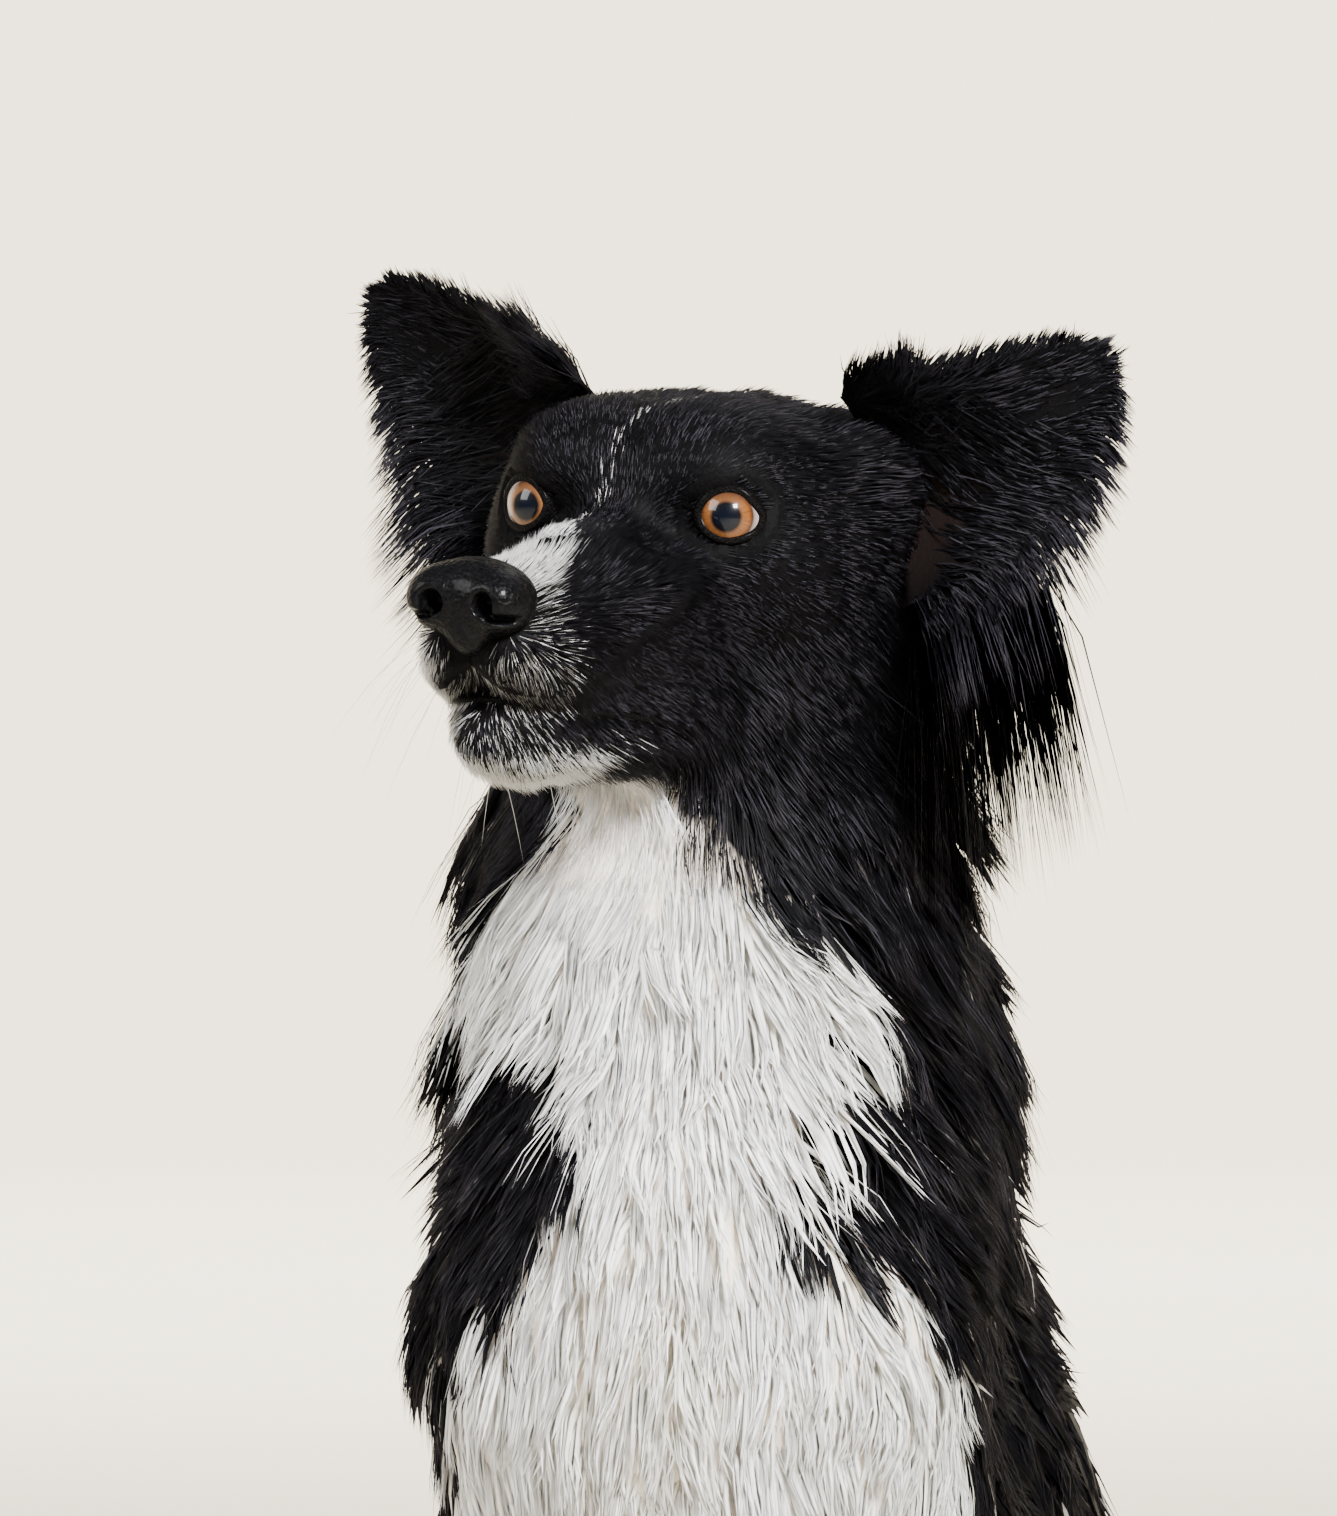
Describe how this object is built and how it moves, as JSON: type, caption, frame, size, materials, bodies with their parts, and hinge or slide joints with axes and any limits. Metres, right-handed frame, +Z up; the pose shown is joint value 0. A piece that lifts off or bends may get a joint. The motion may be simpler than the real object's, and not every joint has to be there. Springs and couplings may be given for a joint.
{
  "type": "sitting border collie",
  "caption": "Life-size still model of a sitting rough-coated sheepdog, black and white, head turned and raised, pricked ears, tail laid round to its left.",
  "frame": {"origin": "on the floor, at the middle of the dog's bounding box seen from above", "axes": "+Z up; the dog's body faces -Y and its left side is +X"},
  "size_m": [0.3952, 0.666, 0.6593],
  "materials": {
    "black_coat": "long black dog hair with a soft bluish sheen, laid in locks",
    "white_coat": "white dog hair, creamy in the folds",
    "nose_leather": "moist pebbled black nose leather",
    "eye": "wet amber-brown eyeball with a dark pupil"
  },
  "bodies": {
    "root": {"nose": "nose_leather", "eye_left": "eye", "eye_right": "eye", "head": "black_coat", "ear_left": "black_coat", "ear_right": "black_coat", "neck": "black_coat", "bib": "white_coat", "chest": "black_coat", "barrel": "black_coat", "rump": "black_coat", "elbow_left": "white_coat", "elbow_right": "white_coat", "foreleg_left": "white_coat", "foreleg_right": "white_coat", "forepaw_left": "white_coat", "forepaw_right": "white_coat", "thigh_left": "black_coat", "thigh_right": "black_coat", "hock_left": "white_coat", "hock_right": "white_coat", "hindpaw_left": "white_coat", "hindpaw_right": "white_coat", "tail_base": "black_coat", "tail": "black_coat", "tail_tip": "white_coat"}
  },
  "joints": []
}
